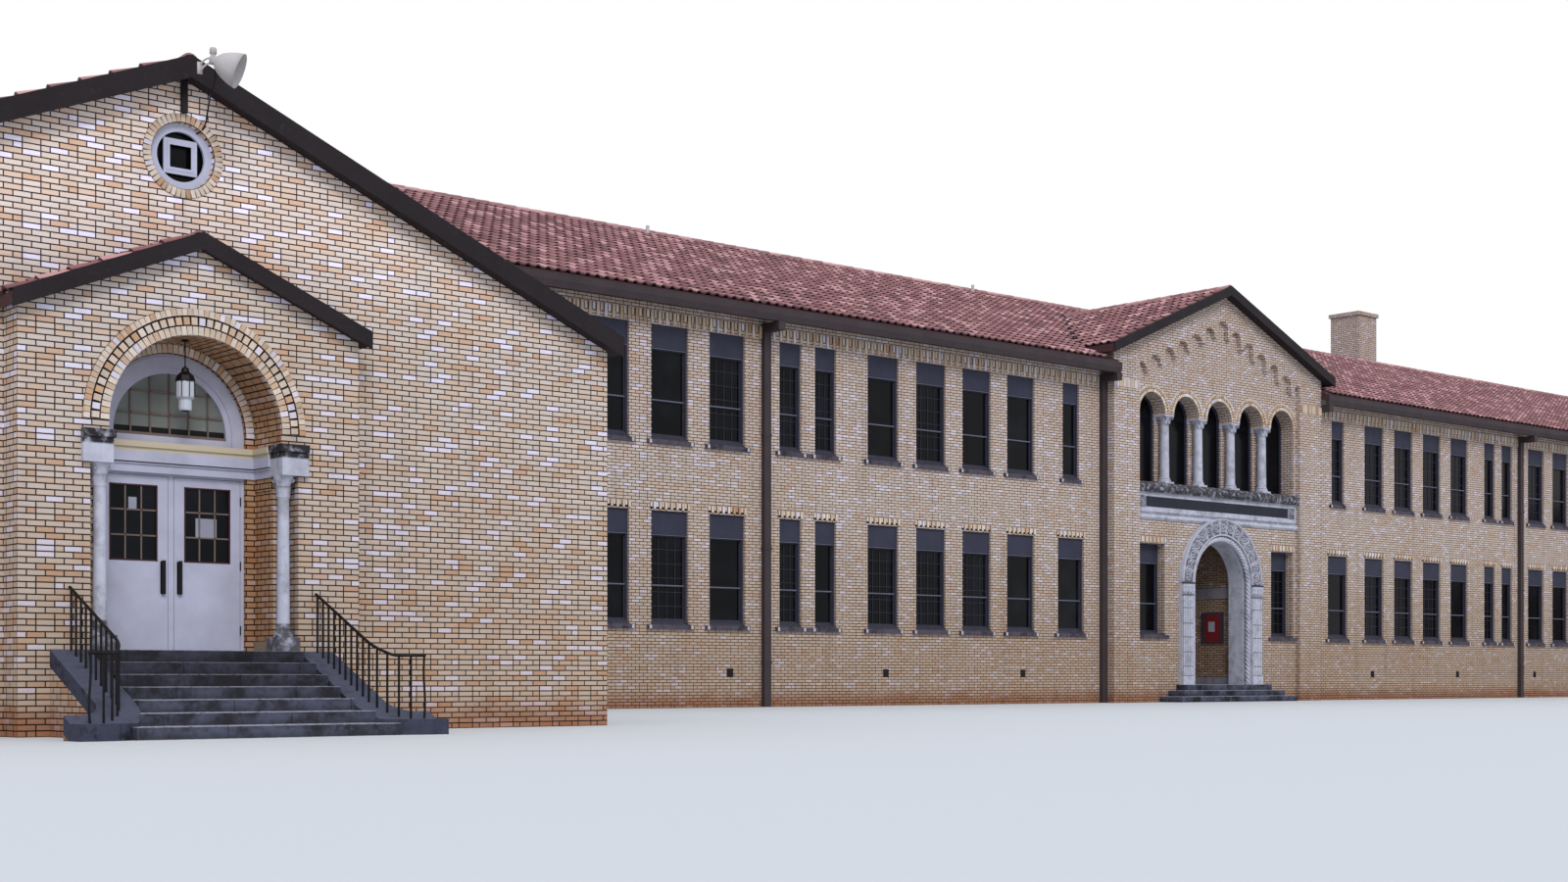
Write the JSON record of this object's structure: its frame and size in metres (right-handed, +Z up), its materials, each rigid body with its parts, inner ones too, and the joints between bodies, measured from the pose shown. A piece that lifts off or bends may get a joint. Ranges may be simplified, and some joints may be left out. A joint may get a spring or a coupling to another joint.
{
  "type": "School building, 1:10 scale model",
  "caption": "Long two-storey brick school with a tiled gable roof, a central pavilion with a round-arched portal, gabled end halls with arched porches, stairs and outward-swinging doors.",
  "frame": {"origin": "Lowest ground height on the pavilion's axis, at the front face of the main wall.", "axes": "+X runs along the front to the right seen from the street, +Y goes to the back of the building, +Z is up."},
  "size_m": [8.588, 3.04, 1.44],
  "materials": {
    "brick": "rough mixed brick",
    "roof_tile": "matte tile",
    "cut_stone": "weathered",
    "concrete": "rough",
    "dark_metal": "worn",
    "dark_board": "painted",
    "window_paint": "satin",
    "glass": "polished",
    "white_paint": "worn satin",
    "door_paint": "painted",
    "black_iron": "satin",
    "red_paint": "painted"
  },
  "bodies": {
    "building": {"arcade_arches": "brick", "arcade_columns": "cut_stone", "arcade_frames": "window_paint", "arcade_glass": "glass", "arcade_piers": "brick", "back_wall": "brick", "cheek_copings": "concrete", "chimney": "brick", "door_frames": "white_paint", "door_hinges": "black_iron", "downspouts": "dark_metal", "end_walls": "brick", "entablatures": "cut_stone", "entrance_steps": "concrete", "fixed_door_panes": "glass", "fixed_doors": "door_paint", "floodlight": "white_paint", "front_walls": "brick", "ground_floors": "concrete", "gutters": "dark_metal", "hall_front_walls": "brick", "hall_gables": "brick", "hall_side_walls": "brick", "lanterns": "black_iron", "left_porch_columns": "cut_stone", "left_railings": "black_iron", "main_roof": "roof_tile", "name_band": "cut_stone", "notice_board": "red_paint", "oculus_frames": "white_paint", "pavilion_gable": "brick", "pavilion_lower_wall": "brick", "pavilion_piers": "brick", "pavilion_roof": "roof_tile", "porch_arches": "brick", "porch_piers": "brick", "portal_ropes": "cut_stone", "portal_spandrel": "brick", "portal_steps": "concrete", "portal_surround": "cut_stone", "rake_boards": "dark_board", "ridge_tiles": "roof_tile", "right_porch_columns": "cut_stone", "right_railings": "black_iron", "roof_vents": "white_paint", "round_panes": "glass", "step_cheeks": "brick", "upper_floor": "concrete", "vestibule_walls": "brick", "window_frames": "window_paint", "window_glass": "glass", "window_sills": "cut_stone", "wing_roofs": "roof_tile"},
    "left_leaf": {"left_door_leaf": "door_paint", "left_door_glass": "glass", "left_door_pull": "black_iron"},
    "right_leaf": {"right_door_leaf": "door_paint", "right_door_glass": "glass", "right_door_pull": "black_iron"}
  },
  "joints": [
    {"name": "left_leaf_hinge", "type": "hinge", "parent": "building", "child": "left_leaf", "pos_m": [-3.7347, -1.1949, 0.1006], "axis": [0, 0, -1], "range_deg": [0, 90]},
    {"name": "right_leaf_hinge", "type": "hinge", "parent": "building", "child": "right_leaf", "pos_m": [-3.5533, -1.1949, 0.1006], "axis": [0, 0, 1], "range_deg": [0, 90]}
  ]
}
